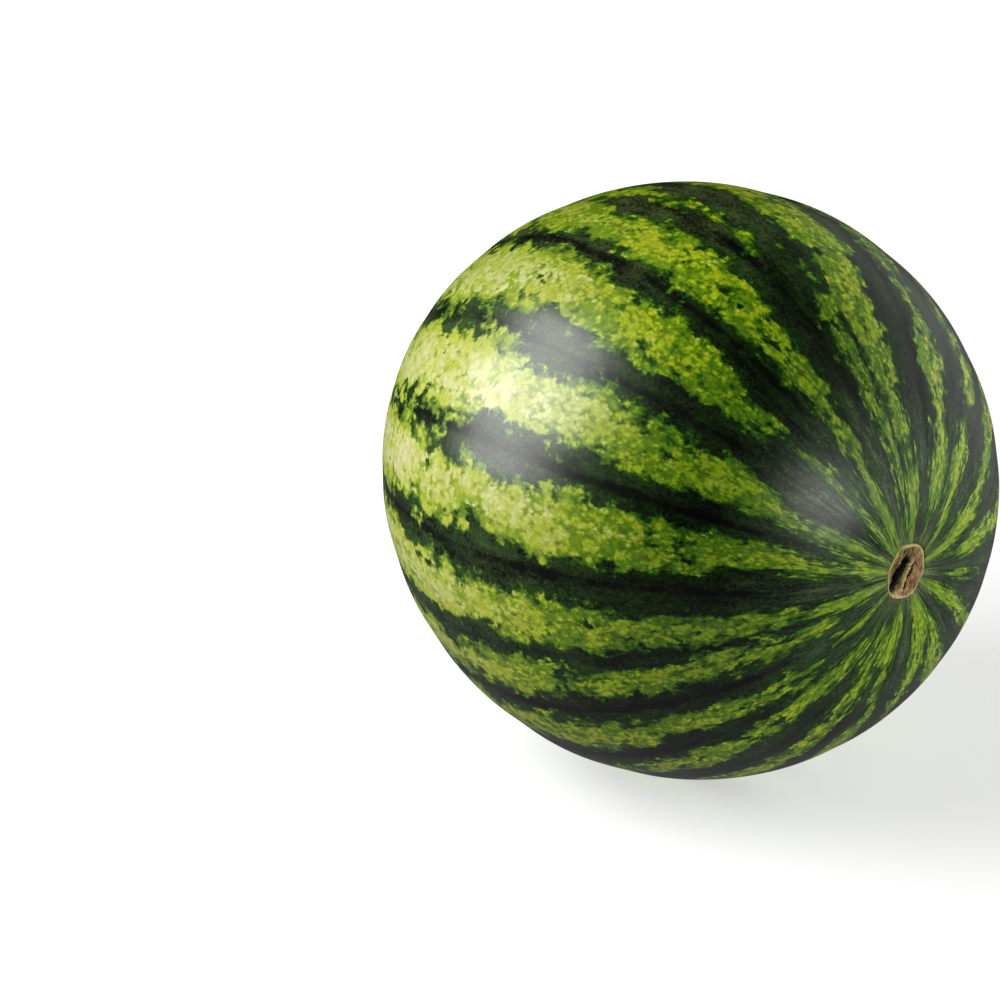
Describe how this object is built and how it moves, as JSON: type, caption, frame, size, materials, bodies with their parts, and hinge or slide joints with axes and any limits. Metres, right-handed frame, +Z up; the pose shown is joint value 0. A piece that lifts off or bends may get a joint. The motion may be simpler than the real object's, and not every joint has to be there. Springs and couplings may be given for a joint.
{
  "type": "watermelon",
  "caption": "Whole striped watermelon lying on its side on a small flat spot, with the dry corky end of its stalk in the scar at one end.",
  "frame": {"origin": "on the ground, under the middle of the fruit's box", "axes": "+X along the fruit's axis towards its stem end, +Z up, -Y towards the side that the picture shows"},
  "size_m": [0.2698, 0.2446, 0.2429],
  "materials": {
    "rind": "waxy green rind, satin, with light and dark stripes",
    "stalk_cork": "dry fibrous cork, matt"
  },
  "bodies": {
    "root": {"melon": "rind", "stem_stub": "stalk_cork"}
  },
  "joints": []
}
